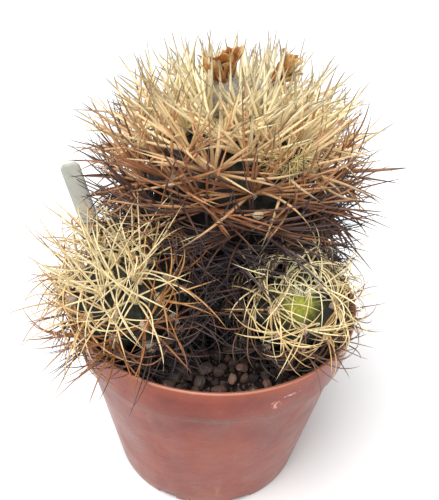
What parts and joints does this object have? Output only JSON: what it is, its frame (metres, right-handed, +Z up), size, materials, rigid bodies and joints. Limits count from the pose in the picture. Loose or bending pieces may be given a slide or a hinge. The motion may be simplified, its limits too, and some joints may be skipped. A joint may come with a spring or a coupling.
{
  "type": "potted round cactus",
  "caption": "Round ribbed cactus with offsets at its foot, under dense straw-coloured and dark spines, in a terracotta-coloured plastic nursery pot of dark mix.",
  "frame": {"origin": "centre of the pot's flat base, on the surface the pot stands on", "axes": "+Z up along the pot's axis and the main stem; -Y is the front, where the two offsets stand; +X is the viewer's right from the front"},
  "size_m": [0.1514, 0.1558, 0.1902],
  "materials": {
    "pot_plastic": "satin",
    "potting_mix": "matte",
    "gravel": "matte",
    "label_plastic": "satin",
    "main_flesh": "matte",
    "left_flesh": "matte",
    "right_flesh": "matte",
    "wool": "matte",
    "dried_petals": "matte",
    "main_spines": "satin",
    "left_spines": "satin",
    "right_spines": "satin"
  },
  "bodies": {
    "root": {"pot": "pot_plastic", "potting_mix": "potting_mix", "gravel_stone_01": "gravel", "gravel_stone_02": "gravel", "gravel_stone_03": "gravel", "gravel_stone_04": "gravel", "gravel_stone_05": "gravel", "gravel_stone_06": "gravel", "gravel_stone_07": "gravel", "gravel_stone_08": "gravel", "gravel_stone_09": "gravel", "gravel_stone_10": "gravel", "gravel_stone_11": "gravel", "gravel_stone_12": "gravel", "plant_label": "label_plastic", "main_stem": "main_flesh", "left_stem": "left_flesh", "right_stem": "right_flesh", "main_crown_wool": "wool", "woolly_fruit_1": "wool", "dried_flower_1": "dried_petals", "woolly_fruit_2": "wool", "dried_flower_2": "dried_petals", "main_spines_rib_01": "main_spines", "main_spines_rib_02": "main_spines", "main_spines_rib_03": "main_spines", "main_spines_rib_04": "main_spines", "main_spines_rib_05": "main_spines", "main_spines_rib_06": "main_spines", "main_spines_rib_07": "main_spines", "main_spines_rib_08": "main_spines", "main_spines_rib_09": "main_spines", "main_spines_rib_10": "main_spines", "main_spines_rib_11": "main_spines", "main_spines_rib_12": "main_spines", "main_spines_rib_13": "main_spines", "main_spines_rib_14": "main_spines", "left_spines_rib_01": "left_spines", "left_spines_rib_02": "left_spines", "left_spines_rib_03": "left_spines", "left_spines_rib_04": "left_spines", "left_spines_rib_05": "left_spines", "left_spines_rib_06": "left_spines", "left_spines_rib_07": "left_spines", "left_spines_rib_08": "left_spines", "left_spines_rib_09": "left_spines", "left_spines_rib_10": "left_spines", "left_spines_rib_11": "left_spines", "right_spines_rib_01": "right_spines", "right_spines_rib_02": "right_spines", "right_spines_rib_03": "right_spines", "right_spines_rib_04": "right_spines", "right_spines_rib_05": "right_spines", "right_spines_rib_06": "right_spines", "right_spines_rib_07": "right_spines", "right_spines_rib_08": "right_spines", "right_spines_rib_09": "right_spines"}
  },
  "joints": []
}
